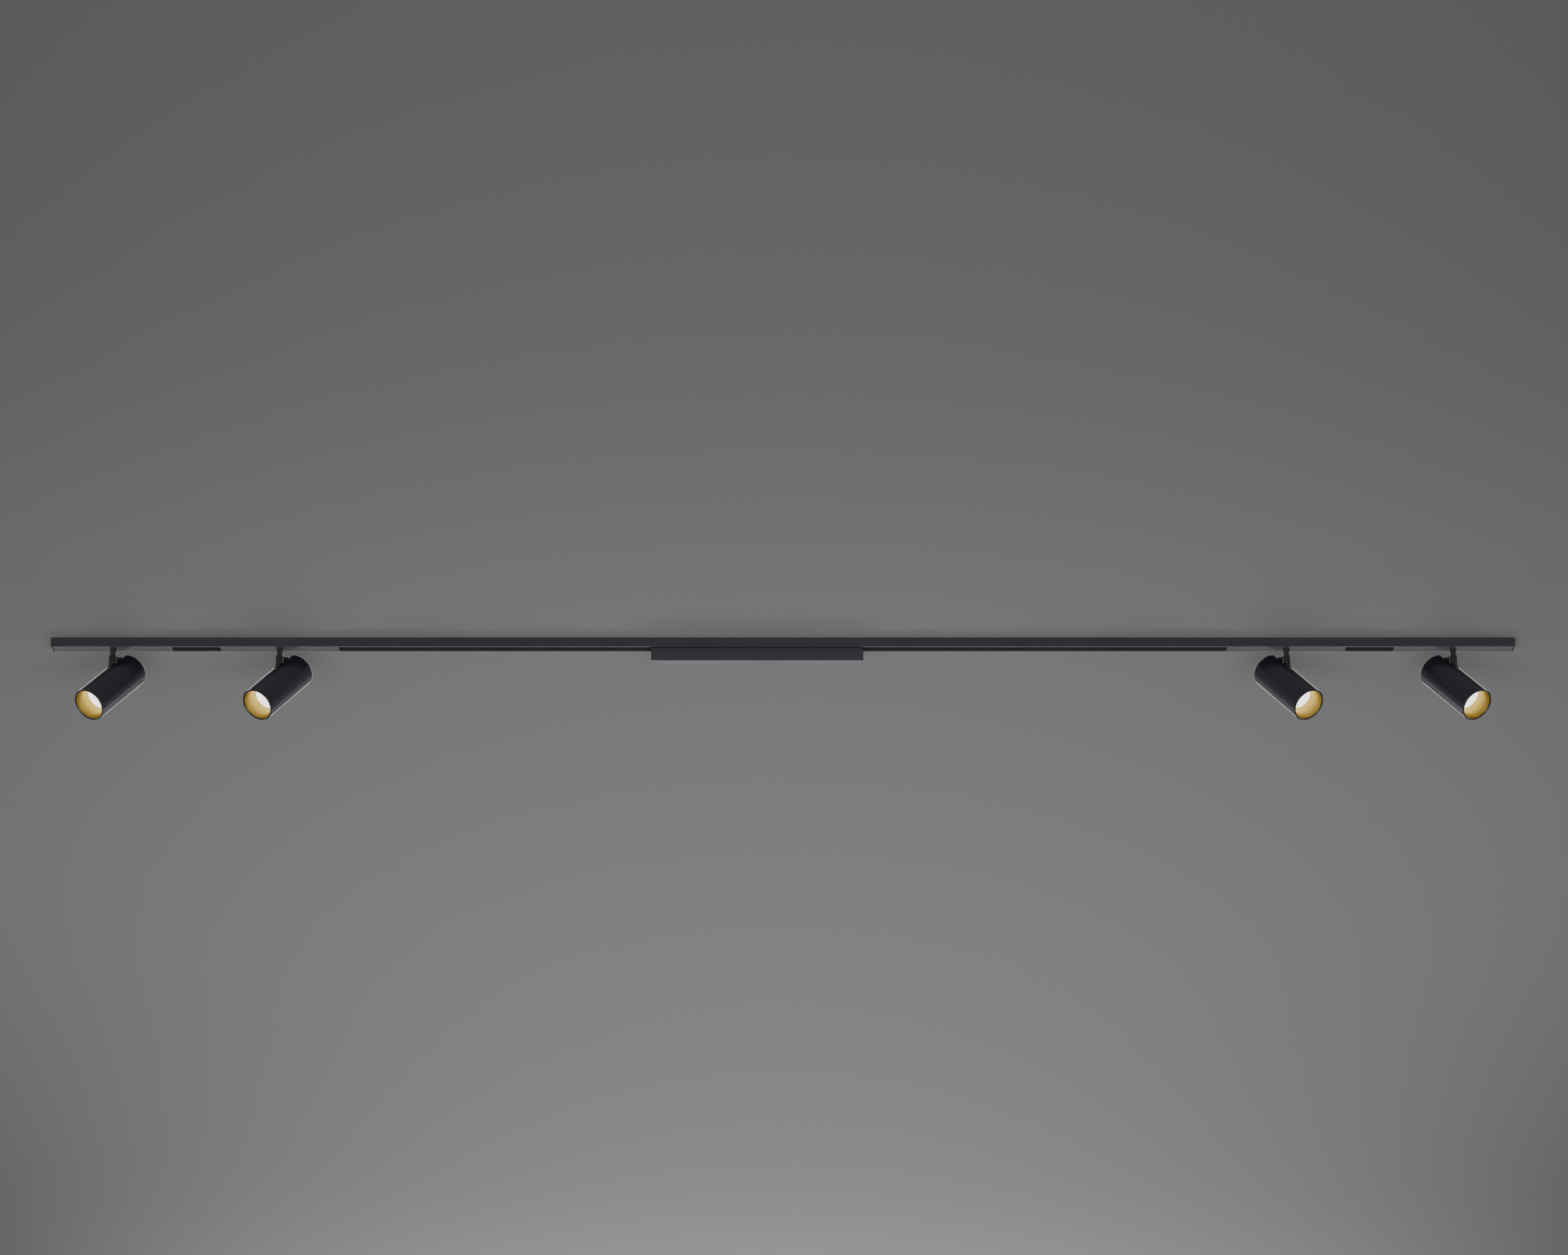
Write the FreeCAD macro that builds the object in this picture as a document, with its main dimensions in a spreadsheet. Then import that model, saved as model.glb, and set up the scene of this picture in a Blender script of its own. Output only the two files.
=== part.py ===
import FreeCAD, Part
import Sketcher
import math
import os
from FreeCAD import Vector

# Surface-mounted low-voltage track with four cylinder spots and an in-track driver.
# The origin is the middle of the rail's top face, which lies against the ceiling.
# X runs along the rail, the heads look towards -Y, and Z is up. Millimetres.

SIZES = {
    # rail
    "rail_length": 1996,
    "rail_width": 21.5,
    "rail_height": 13,
    "rail_web": 1.8,
    "slot_width": 16,
    "lip_height": 2.8,
    "cavity_width": 18.8,
    "edge_break": 0.3,
    "mount_hole": 4.5,
    "inner_mount_x": 400,
    "outer_mount_x": 801.5,
    # end caps
    "cap_thick": 2,
    "cap_boss": 0.6,
    # insulators, conductors and steel strips
    "liner_inset": 0.7,
    "liner_thick": 1.3,
    "groove_top": 5,
    "groove_tall": 3,
    "groove_deep": 0.8,
    "conductor_tall": 2.4,
    "conductor_thick": 0.4,
    "strip_width": 12,
    "strip_thick": 0.6,
    "strip_hole": 9.5,
    # driver
    "driver_left": -180,
    "driver_length": 289.5,
    "driver_width": 16,
    "driver_top": 14,
    "driver_tall": 18,
    "driver_wall": 1,
    "driver_end": 2,
    "driver_edge": 0.5,
    "lid_thick": 1.2,
    "neck_width": 12.4,
    "insert_width": 15.6,
    "insert_top": 4.5,
    "cable_x": -150,
    "cable_bore": 6.5,
    "grommet_body": 10,
    "grommet_flange": 13,
    "grommet_lip": 0.8,
    "board_thick": 1.6,
    "board_wide": 12,
    "board_seat": 2,
    "board_margin": 10,
    "contact_margin": 30,
    "driver_leaf": 3.6,
    "driver_chip_long": 12,
    "driver_chip_wide": 8,
    "driver_chip_tall": 2.2,
    "core_long": 26,
    "core_wide": 11.6,
    "core_tall": 3,
    "winding_long": 19,
    "winding_wide": 10,
    "winding_tall": 5,
    "core_top_tall": 2,
    "can_size": 9.6,
    "can_tall": 10,
    "clamp_long": 12,
    "clamp_wide": 11,
    "clamp_tall": 9,
    "clamp_well": 3.4,
    "clamp_well_y": 2.8,
    "clamp_well_deep": 5,
    # adapters
    "adapter_length": 162.5,
    "adapter_width": 15.6,
    "cover_thick": 1.5,
    "housing_tall": 8.8,
    "housing_wall": 1,
    "housing_roof": 1.2,
    "rib_tall": 1.2,
    "rib_gap": 0.1,
    "rib_thick": 0.8,
    "contact_x": 67,
    "contact_long": 10,
    "contact_reach": 8.4,
    "contact_low": 5.6,
    "contact_tall": 1.6,
    "window_long": 12,
    "window_clear": 0.3,
    "adapter_leaf": 4.4,
    "adapter_board_wide": 11,
    "adapter_board_thick": 1.2,
    "part_x": 16,
    "choke_long": 11,
    "choke_wide": 9,
    "choke_tall": 2.9,
    "adapter_chip_long": 9,
    "adapter_chip_wide": 7,
    "adapter_chip_tall": 1.4,
    "magnet_x": 45,
    "magnet_long": 30,
    "magnet_wide": 9,
    "magnet_thick": 2.2,
    # stem
    "spindle": 6,
    "spindle_clear": 0.1,
    "collar": 9,
    "collar_tall": 1.6,
    "cone_root": 9.2,
    "cone_end": 6.8,
    "cone_long": 10,
    "boss": 10.4,
    "boss_end": 21.6,
    "fin_reach": 9,
    "fin_wide": 5,
    "fin_shoulder": 1.2,
    "fin_tail": 3,
    "tongue_wide": 7,
    "tongue_deep": 7,
    "eye": 10,
    "wire_bore": 3,
    "pivot_drop": 54.5,
    "pin_size": 4,
    "pin_clear": 0.1,
    "pin_head": 6.4,
    "pin_head_thick": 1.2,
    # head, measured from the pivot along the head's own axis
    "head_size": 47,
    "head_wall": 2,
    "head_rear": 49,
    "head_front": 51.5,
    "rear_wall": 2,
    "rear_round": 2,
    "notch_width": 11.2,
    "notch_long": 36.3,
    "notch_past": 5.2,
    "sink_back": 8,
    "sink_front": 23,
    "sink_size": 42.8,
    "sink_hub": 20,
    "fin_slots": 12,
    "fin_slot": 2.4,
    "fin_slot_deep": 11,
    "fork_wide": 15.6,
    "fork_gap": 7.6,
    "fork_eye": 12,
    "led_board_size": 36,
    "led_board_thick": 1.5,
    "led_size": 14,
    "led_thick": 0.9,
    "cup_mouth": 42,
    "cup_neck": 33.4,
    "cup_depth": 21.1,
    "cup_inset": 0.8,
    "cup_wall": 0.5,
    "cup_neck_wall": 0.7,
    "cup_flange": 1.6,
    "lens_size": 33,
    "lens_thick": 1.5,
    "lens_crown": 0.5,
    # where the spots stand, and how they are aimed
    "outer_stem_x": 916,
    "inner_stem_x": 688,
    "heading": 48.5,
    "tilt": 44,
}

doc = FreeCAD.newDocument("TrackLight")
sheet = doc.addObject("Spreadsheet::Sheet", "Sizes")
for row, (alias, value) in enumerate(SIZES.items(), start=1):
    sheet.set(f"A{row}", alias.replace("_", " "))
    sheet.set(f"B{row}", str(value))
    sheet.setAlias(f"B{row}", alias)
doc.recompute()

made = []


def size(alias):
    """A driving dimension as a number."""
    return float(sheet.get(alias))


def cells(text):
    """An expression over the sheet's aliases, each written in text as a word."""
    words = text.replace("(", " ( ").replace(")", " ) ").split()
    return " ".join(f"Sizes.{word}" if word in SIZES else word for word in words)


def bind(thing, **expressions):
    """Bind properties of a feature, such as Length, to the sheet."""
    for name, text in expressions.items():
        thing.setExpression(name, cells(text))
    return thing


def new_body(label, alone=True):
    """A body; it is a node of its own if alone, and part of a group if not."""
    body = doc.addObject("PartDesign::Body", label)
    body.Label = label
    if alone:
        made.append(body)
    return body


def new_sketch(body, role, offset=None):
    """A sketch on one of the body's origin planes, moved along its normal by offset."""
    sketch = body.newObject("Sketcher::SketchObject", body.Name + "_sketch")
    plane = next(item for item in body.Origin.OriginFeatures if item.Role == role)
    sketch.AttachmentSupport = (plane, [""])
    sketch.MapMode = "FlatFace"
    if offset:
        sketch.setExpression("AttachmentOffset.Base.z", cells(offset))
    return sketch


def hold(sketch, edge, point, x, y):
    """Hold a point of a sketch's edge at x, y, each an expression or 0."""
    for kind, axis, text in (("DistanceX", -2, x), ("DistanceY", -1, y)):
        if text == "0":
            sketch.addConstraint(Sketcher.Constraint("PointOnObject", edge, point, axis))
        else:
            rule = Sketcher.Constraint(kind, -1, 1, edge, point, 1.0)
            number = sketch.addConstraint(rule)
            sketch.setExpression(f"Constraints[{number}]", cells(text))


def outline(sketch, corners):
    """Draw a closed outline of straight edges through corners, each an (x, y) pair."""
    count = len(corners)
    first = sketch.GeometryCount
    turn = 2 * math.pi / count
    ring = [Vector(9 * math.cos(turn * i), 9 * math.sin(turn * i), 0) for i in range(count)]
    for i in range(count):
        sketch.addGeometry(Part.LineSegment(ring[i], ring[(i + 1) % count]), False)
    for i in range(count):
        join = Sketcher.Constraint("Coincident", first + i, 2, first + (i + 1) % count, 1)
        sketch.addConstraint(join)
    for i, (x, y) in enumerate(corners):
        hold(sketch, first + i, 1, x, y)


def rectangle(sketch, left, right, low, high):
    outline(sketch, [(left, low), (right, low), (right, high), (left, high)])


def circle(sketch, diameter, x="0", y="0"):
    edge = sketch.addGeometry(Part.Circle(Vector(1, 1, 0), Vector(0, 0, 1), 1), False)
    hold(sketch, edge, 3, x, y)
    number = sketch.addConstraint(Sketcher.Constraint("Diameter", edge, 2.0))
    sketch.setExpression(f"Constraints[{number}]", cells(diameter))


def grow(body, sketch, length, middle=False, back=False):
    """Pad a sketch by length, both ways from its plane if middle, against its normal if back."""
    feature = body.newObject("PartDesign::Pad", body.Name + "_pad")
    feature.Profile = sketch
    feature.SideType = "Symmetric" if middle else "One side"
    feature.Reversed = back
    return bind(feature, Length=length)


def cut(body, sketch, length, middle=False, ahead=False):
    """Pocket a sketch by length, both ways if middle, along its normal if ahead."""
    doc.recompute()
    before = body.Shape.Volume
    feature = body.newObject("PartDesign::Pocket", body.Name + "_pocket")
    feature.Profile = sketch
    feature.SideType = "Symmetric" if middle else "One side"
    feature.Reversed = ahead
    bind(feature, Length=length)
    doc.recompute()
    if body.Shape.Volume >= before:
        raise RuntimeError(f"a pocket in {body.Label} cuts nothing")
    return feature


def spin(body, sketch):
    """Revolve a sketch once round its own upright axis."""
    feature = body.newObject("PartDesign::Revolution", body.Name + "_turned")
    feature.Profile = sketch
    feature.ReferenceAxis = (sketch, ["V_Axis"])
    feature.Angle = 360
    return feature


def edges_of(feature, wanted):
    """Names of a feature's edges for which wanted says yes."""
    doc.recompute()
    return [f"Edge{n}" for n, edge in enumerate(feature.Shape.Edges, start=1) if wanted(edge)]


def soften(body, kind, amount, wanted):
    """Fillet or chamfer the edges of the body's last feature that wanted picks."""
    last = body.Tip
    names = edges_of(last, wanted)
    if not names:
        raise RuntimeError(f"no edge to soften in {body.Label}")
    feature = body.newObject("PartDesign::" + kind, body.Name + "_soft")
    feature.Base = (last, names)
    return bind(feature, **{"Radius" if kind == "Fillet" else "Size": amount})


def flat_at(edge, axis, place):
    """Whether an edge lies wholly at one place along an axis."""
    box = edge.BoundBox
    low = getattr(box, axis + "Min")
    high = getattr(box, axis + "Max")
    return abs(low - place) < 0.01 and abs(high - place) < 0.01


def block(name, x, y, z, long, wide, tall):
    """A Part box centred on x, y, with its underside at z."""
    box = doc.addObject("Part::Box", name)
    bind(box, Length=long, Width=wide, Height=tall)
    box.setExpression("Placement.Base.x", cells(f"( {x} ) - ( {long} ) / 2"))
    box.setExpression("Placement.Base.y", cells(f"( {y} ) - ( {wide} ) / 2"))
    box.setExpression("Placement.Base.z", cells(z))
    return box


def round_bar(name, x, y, z, radius, tall):
    """A Part cylinder standing on z."""
    bar = doc.addObject("Part::Cylinder", name)
    bind(bar, Radius=radius, Height=tall)
    bar.setExpression("Placement.Base.x", cells(x))
    bar.setExpression("Placement.Base.y", cells(y))
    bar.setExpression("Placement.Base.z", cells(z))
    return bar


def group(label, pieces):
    """Separate like pieces kept in one node."""
    holder = doc.addObject("Part::Compound", label)
    holder.Label = label
    holder.Links = pieces
    made.append(holder)
    return holder


# ---- rail: extruded aluminium, open underneath, with screw holes in its web ----

def make_rail():
    body = new_body("rail")
    section = new_sketch(body, "YZ_Plane")
    half = [
        ("rail_width / 2", "0"),
        ("rail_width / 2", "- rail_height"),
        ("slot_width / 2", "- rail_height"),
        ("slot_width / 2", "lip_height - rail_height"),
        ("cavity_width / 2", "lip_height - rail_height"),
        ("cavity_width / 2", "- rail_web"),
    ]
    other = [(f"- {y}", z) for y, z in reversed(half)]
    outline(section, half + other)
    grow(body, section, "rail_length", middle=True)
    tall, wide = size("rail_height"), size("rail_width")
    slot = size("slot_width")
    long = size("rail_length")

    def outer_edge(edge):
        runs_long = edge.BoundBox.XLength > long - 1
        outside = any(flat_at(edge, "Y", y) for y in (-wide / 2, wide / 2, -slot / 2, slot / 2))
        ends = flat_at(edge, "Z", -tall) or flat_at(edge, "Z", 0)
        return runs_long and outside and ends

    soften(body, "Chamfer", "edge_break", outer_edge)
    holes = new_sketch(body, "XY_Plane")
    for place in ("inner_mount_x", "outer_mount_x"):
        circle(holes, "mount_hole", x=place)
        circle(holes, "mount_hole", x=f"- {place}")
    circle(holes, "grommet_body", x="cable_x")
    cut(body, holes, "rail_web + 1")


def make_end_cap(label, side):
    """A moulded cap; side is 1 at the right end and -1 at the left."""
    body = new_body(label)
    plate = new_sketch(body, "YZ_Plane")
    rectangle(plate, "- rail_width / 2", "rail_width / 2", "- rail_height", "0")
    grow(body, plate, "cap_thick", back=side < 0)
    boss = new_sketch(body, "YZ_Plane")
    rectangle(boss, "- cavity_width / 2", "cavity_width / 2", "lip_height - rail_height", "- rail_web")
    grow(body, boss, "cap_boss", back=side > 0)
    face = side * size("cap_thick")
    soften(body, "Chamfer", "edge_break", lambda edge: flat_at(edge, "X", face))
    body.Placement.Base.x = side * size("rail_length") / 2


def make_insulator(label, side):
    """An extruded plastic liner with a groove for its conductor; side is 1 at the rear."""
    body = new_body(label)
    section = new_sketch(body, "YZ_Plane")
    sign = "" if side > 0 else "- "
    wall = f"{sign}cavity_width / 2"
    turn = "-" if side > 0 else "+"
    face = f"{wall} {turn} liner_thick"
    floor = f"{face} {'+' if side > 0 else '-'} groove_deep"
    outline(section, [
        (wall, "- rail_web"),
        (face, "- rail_web"),
        (face, "- groove_top"),
        (floor, "- groove_top"),
        (floor, "- groove_top - groove_tall"),
        (face, "- groove_top - groove_tall"),
        (face, "lip_height - rail_height"),
        (wall, "lip_height - rail_height"),
    ])
    grow(body, section, "rail_length - 2 * liner_inset", middle=True)


def make_conductors():
    """Two copper strips on the floors of the liners' grooves."""
    middle = "cavity_width / 2 - liner_thick + groove_deep - conductor_thick / 2"
    low = "- groove_top - groove_tall / 2 - conductor_tall / 2"
    strips = []
    for name, sign in (("front", "- "), ("rear", "")):
        place = f"{sign}( {middle} )"
        long = "rail_length - 2 * liner_inset"
        strip = block(f"conductor_{name}", "0", place, low, long, "conductor_thick", "conductor_tall")
        strips.append(strip)
    group("conductors", strips)


def make_steel_strips():
    """Two steel strips under the web, left and right of the driver, cleared for screw heads."""
    spans = (
        ("left", "liner_inset - rail_length / 2", "driver_left - 1"),
        ("right", "driver_left + driver_length + 1", "rail_length / 2 - liner_inset"),
    )
    strips = []
    for name, start, end in spans:
        middle = f"( {start} + {end} ) / 2"
        long = f"{end} - ( {start} )"
        low = "- rail_web - strip_thick"
        plain = block(f"steel_{name}", middle, "0", low, long, "strip_width", "strip_thick")
        sign = "- " if name == "left" else ""
        drills = []
        for place in ("inner_mount_x", "outer_mount_x"):
            where = f"{sign}{place}"
            bar = round_bar(f"drill_{name}_{place}", where, "0", low, "strip_hole / 2", "strip_thick")
            drills.append(bar)
        both = doc.addObject("Part::MultiFuse", f"drills_{name}")
        both.Shapes = drills
        drilled = doc.addObject("Part::Cut", f"steel_{name}_drilled")
        drilled.Base = plain
        drilled.Tool = both
        strips.append(drilled)
    group("steel_strips", strips)


make_rail()
make_end_cap("end_cap_left", -1)
make_end_cap("end_cap_right", 1)
make_insulator("insulator_front", -1)
make_insulator("insulator_rear", 1)
make_conductors()
make_steel_strips()


# ---- driver: an aluminium trough hung under the slot by its lid, with a plate at each end ----

DRIVER_X = "driver_left + driver_length / 2"
INNER_LONG = "driver_length - 2 * driver_end"
DRIVER_FLOOR = "- driver_top - driver_tall + driver_wall"


def put_at_driver(body):
    body.setExpression("Placement.Base.x", cells(DRIVER_X))


def make_driver_housing():
    body = new_body("driver_housing")
    section = new_sketch(body, "YZ_Plane")
    outside = "driver_width / 2"
    inside = "driver_width / 2 - driver_wall"
    low = "- driver_top - driver_tall"
    outline(section, [
        (outside, "- driver_top"),
        (outside, low),
        (f"- {outside}", low),
        (f"- {outside}", "- driver_top"),
        (f"- ( {inside} )", "- driver_top"),
        (f"- ( {inside} )", DRIVER_FLOOR),
        (inside, DRIVER_FLOOR),
        (inside, "- driver_top"),
    ])
    grow(body, section, INNER_LONG, middle=True)
    bottom = -size("driver_top") - size("driver_tall")
    long = size("driver_length") - 10

    def bottom_edge(edge):
        return flat_at(edge, "Z", bottom) and edge.BoundBox.XLength > long

    soften(body, "Fillet", "driver_edge", bottom_edge)
    put_at_driver(body)


def make_driver_end(label, side):
    """A plate that closes one end of the driver's trough."""
    body = new_body(label, alone=False)
    plate = new_sketch(body, "YZ_Plane")
    wide = "driver_width / 2"
    rectangle(plate, f"- {wide}", wide, "- driver_top - driver_tall", "- driver_top")
    grow(body, plate, "driver_end", back=side < 0)
    soften(body, "Chamfer", "edge_break", lambda edge: edge.BoundBox.XLength < 0.01)
    middle = size("driver_left") + size("driver_length") / 2
    inner = size("driver_length") / 2 - size("driver_end")
    body.Placement.Base.x = middle + side * inner
    return body


def make_driver_lid():
    """A moulded lid with a narrow neck and a hollow insert that fills the slot above."""
    body = new_body("driver_lid")
    section = new_sketch(body, "YZ_Plane")
    lid = "driver_width / 2 - driver_wall"
    wall = "housing_wall"
    roof = "- insert_top - housing_roof"
    shelf = "- rail_height + edge_break"
    half = [
        (lid, "- driver_top - lid_thick"),
        (lid, "- driver_top"),
        ("neck_width / 2", "- driver_top"),
        ("neck_width / 2", shelf),
        ("insert_width / 2", shelf),
        ("insert_width / 2", "- insert_top"),
    ]
    hollow = [
        (f"neck_width / 2 - {wall}", "- driver_top - lid_thick"),
        (f"neck_width / 2 - {wall}", f"{shelf} + {wall}"),
        (f"insert_width / 2 - {wall}", f"{shelf} + {wall}"),
        (f"insert_width / 2 - {wall}", roof),
    ]
    outer = half + [(f"- ( {y} )", z) for y, z in reversed(half)]
    inner = [(f"- ( {y} )", z) for y, z in hollow] + list(reversed(hollow))
    outline(section, outer + inner)
    grow(body, section, INNER_LONG, middle=True)
    inlet = new_sketch(body, "XY_Plane", offset="- insert_top")
    circle(inlet, "grommet_body", x=f"cable_x - ( {DRIVER_X} )")
    cut(body, inlet, "housing_roof + 0.5")
    windows = new_sketch(body, "XZ_Plane")
    low = "contact_low - rail_height - window_clear"
    high = "contact_low - rail_height + contact_tall + window_clear"
    for sign in ("", "- "):
        near = f"{sign}( driver_length / 2 - contact_margin )"
        rectangle(windows, f"{near} - window_long / 2", f"{near} + window_long / 2", low, high)
    cut(body, windows, "insert_width + 2", middle=True)
    put_at_driver(body)


CHIP_SHIFTS = (-95, -70, 38, 62)
CAN_SHIFTS = (8, 20, 88)
TRANSFORMER_SHIFT = -25
CLAMP_SHIFT = -125


def make_driver_inside():
    """The driver's board with its parts, and the leaves that reach the conductors."""
    seat = f"{DRIVER_FLOOR} + board_seat"
    top = f"{seat} + board_thick"
    long = "driver_length - 2 * board_margin"
    pieces = [block("board_plate", DRIVER_X, "0", seat, long, "board_wide", "board_thick")]
    for number, shift in enumerate(CHIP_SHIFTS, start=1):
        chip = block(f"chip_{number}", f"{DRIVER_X} + {shift}", "0", top,
                     "driver_chip_long", "driver_chip_wide", "driver_chip_tall")
        pieces.append(chip)
    group("driver_board", pieces)

    along = f"{DRIVER_X} + {TRANSFORMER_SHIFT}"
    wound = f"{top} + core_tall"
    above = f"{wound} + winding_tall"
    core = block("core", along, "0", top, "core_long", "core_wide", "core_tall")
    winding = block("winding", along, "0", wound, "winding_long", "winding_wide", "winding_tall")
    lid = block("core_top", along, "0", above, "core_long", "core_wide", "core_top_tall")
    whole = doc.addObject("Part::MultiFuse", "transformer")
    whole.Label = "transformer"
    whole.Shapes = [core, winding, lid]
    made.append(whole)

    cans = []
    for number, shift in enumerate(CAN_SHIFTS, start=1):
        can = round_bar(f"can_{number}", f"{DRIVER_X} + {shift}", "0", top, "can_size / 2", "can_tall")
        cans.append(can)
    group("capacitors", cans)

    along = f"{DRIVER_X} + {CLAMP_SHIFT}"
    shell = block("clamp_body", along, "0", top, "clamp_long", "clamp_wide", "clamp_tall")
    wells = []
    for name, sign in (("front", "- "), ("rear", "")):
        low = f"{top} + clamp_tall - clamp_well_deep"
        well = round_bar(f"clamp_well_{name}", along, f"{sign}clamp_well_y", low,
                         "clamp_well / 2", "clamp_well_deep")
        wells.append(well)
    both = doc.addObject("Part::MultiFuse", "clamp_wells")
    both.Shapes = wells
    terminal = doc.addObject("Part::Cut", "terminal_block")
    terminal.Label = "terminal_block"
    terminal.Base = shell
    terminal.Tool = both
    made.append(terminal)

    leaves = []
    low = "contact_low - rail_height"
    for x_sign in ("-", "+"):
        for y_sign in ("-", ""):
            middle = f"{y_sign} ( contact_reach - driver_leaf / 2 )"
            name = f"leaf_{'left' if x_sign == '-' else 'right'}_{'front' if y_sign else 'rear'}"
            place = f"{DRIVER_X} {x_sign} ( driver_length / 2 - contact_margin )"
            leaf = block(name, place, middle, low, "contact_long", "driver_leaf", "contact_tall")
            leaves.append(leaf)
    group("driver_contacts", leaves)


def make_grommet():
    """A rubber bush in the web that the supply cable comes through."""
    body = new_body("cable_grommet")
    section = new_sketch(body, "XZ_Plane")
    bore = "cable_bore / 2"
    low = "- rail_web - grommet_lip"
    outline(section, [
        (bore, "0"),
        ("grommet_body / 2", "0"),
        ("grommet_body / 2", "- rail_web"),
        ("grommet_flange / 2", "- rail_web"),
        ("grommet_flange / 2", low),
        (bore, low),
    ])
    spin(body, section)
    body.setExpression("Placement.Base.x", cells("cable_x"))


make_driver_housing()
driver_ends = [make_driver_end("driver_end_left", -1), make_driver_end("driver_end_right", 1)]
group("driver_end_plates", driver_ends)
make_driver_lid()
make_driver_inside()
make_grommet()


# ---- adapters: a housing that fills the slot, its flush cover, board and magnets ----
# Heights in an adapter and a stem count from the rail's underside.

def make_adapter_housing(label, place):
    body = new_body(label)
    outside = new_sketch(body, "XY_Plane", offset="cover_thick")
    half = ("adapter_length / 2", "adapter_width / 2")
    rectangle(outside, f"- {half[0]}", half[0], f"- {half[1]}", half[1])
    grow(body, outside, "housing_tall")
    hollow = new_sketch(body, "XY_Plane", offset="cover_thick")
    inside = [f"{text} - housing_wall" for text in half]
    rectangle(hollow, f"- ( {inside[0]} )", inside[0], f"- ( {inside[1]} )", inside[1])
    cut(body, hollow, "housing_tall - housing_roof", ahead=True)
    windows = new_sketch(body, "XZ_Plane")
    low = "contact_low - window_clear"
    high = "contact_low + contact_tall + window_clear"
    for sign in ("", "- "):
        near = f"{sign}contact_x"
        rectangle(windows, f"{near} - window_long / 2", f"{near} + window_long / 2", low, high)
    cut(body, windows, "adapter_width + 2", middle=True)
    body.Placement = place


def make_adapter_cover(label, place):
    """A plate flush with the rail, drilled for the stem's spindle, with a locating rib."""
    body = new_body(label)
    plate = new_sketch(body, "XY_Plane")
    half = ("adapter_length / 2", "adapter_width / 2")
    rectangle(plate, f"- {half[0]}", half[0], f"- {half[1]}", half[1])
    grow(body, plate, "cover_thick")
    soften(body, "Chamfer", "edge_break", lambda edge: flat_at(edge, "Z", 0))
    rib = new_sketch(body, "XY_Plane", offset="cover_thick")
    for gap in ("rib_gap", "rib_gap + rib_thick"):
        inside = [f"{text} - housing_wall - ( {gap} )" for text in half]
        rectangle(rib, f"- ( {inside[0]} )", inside[0], f"- ( {inside[1]} )", inside[1])
    grow(body, rib, "rib_tall")
    hole = new_sketch(body, "XY_Plane")
    circle(hole, "spindle + spindle_clear")
    cut(body, hole, "cover_thick", ahead=True)
    body.Placement = place


def make_adapter_board(label, place):
    """The adapter's board with a choke, a chip and four contact leaves."""
    seat = "contact_low - adapter_board_thick"
    long = "2 * contact_x + contact_long"
    pieces = [
        block(f"{label}_plate", "0", "0", seat, long, "adapter_board_wide", "adapter_board_thick"),
        block(f"{label}_choke", "part_x", "0", "contact_low", "choke_long", "choke_wide", "choke_tall"),
        block(f"{label}_chip", "- part_x", "0", "contact_low",
              "adapter_chip_long", "adapter_chip_wide", "adapter_chip_tall"),
    ]
    for x_sign in ("", "- "):
        for y_sign in ("", "- "):
            name = f"{label}_leaf_{len(pieces)}"
            middle = f"{y_sign}( contact_reach - adapter_leaf / 2 )"
            leaf = block(name, f"{x_sign}contact_x", middle, "contact_low",
                         "contact_long", "adapter_leaf", "contact_tall")
            pieces.append(leaf)
    group(label, pieces).Placement = place


def make_adapter_magnets(label, place):
    """Two magnets under the housing's roof."""
    low = "cover_thick + housing_tall - housing_roof - magnet_thick"
    pieces = []
    for sign in ("", "- "):
        name = f"{label}_{len(pieces)}"
        magnet = block(name, f"{sign}magnet_x", "0", low, "magnet_long", "magnet_wide", "magnet_thick")
        pieces.append(magnet)
    group(label, pieces).Placement = place


# ---- stem: turned spindle, cone and boss, then a flat tongue that ends in the pivot's eye ----

def make_stem(label, place):
    body = new_body(label)
    section = new_sketch(body, "XZ_Plane")
    step = "- spindle_clear"
    collar_low = "cover_thick + spindle_clear"
    outline(section, [
        ("0", f"{collar_low} + collar_tall"),
        ("collar / 2", f"{collar_low} + collar_tall"),
        ("collar / 2", collar_low),
        ("spindle / 2", collar_low),
        ("spindle / 2", step),
        ("cone_root / 2", step),
        ("cone_end / 2", "- cone_long"),
        ("boss / 2", "- cone_long"),
        ("boss / 2", "- boss_end"),
        ("0", "- boss_end"),
    ])
    spin(body, section)
    boss_end = -size("boss_end")
    top = -size("cone_long")
    ring = size("boss")

    def boss_rim(edge):
        return (flat_at(edge, "Z", boss_end) or flat_at(edge, "Z", top)) and \
            abs(edge.BoundBox.XLength - ring) < 0.01

    soften(body, "Fillet", "edge_break", boss_rim)
    fin = new_sketch(body, "XZ_Plane")
    outline(fin, [
        ("0", "- cone_long"),
        ("- fin_reach", "- cone_long"),
        ("- fin_reach", "- cone_long - fin_shoulder"),
        ("- tongue_deep / 2", "- boss_end - fin_tail"),
        ("0", "- boss_end - fin_tail"),
    ])
    grow(body, fin, "fin_wide", middle=True)
    tongue = new_sketch(body, "XZ_Plane")
    rectangle(tongue, "- tongue_deep / 2", "tongue_deep / 2", "- pivot_drop", "- boss_end + 1")
    grow(body, tongue, "tongue_wide", middle=True)
    eye = new_sketch(body, "XZ_Plane")
    circle(eye, "eye", y="- pivot_drop")
    grow(body, eye, "tongue_wide", middle=True)
    pivot = new_sketch(body, "XZ_Plane")
    circle(pivot, "pin_size + pin_clear", y="- pivot_drop")
    cut(body, pivot, "tongue_wide + 2", middle=True)
    wires = new_sketch(body, "XY_Plane", offset=f"{collar_low} + collar_tall")
    circle(wires, "wire_bore")
    cut(body, wires, "boss_end + 6")
    body.Placement = place


# ---- head: a turned shell notched for the stem, its heat sink and fork, LED, reflector, lens ----
# Head parts are drawn about the pivot, looking straight down; heights count up from the pivot.

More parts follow.
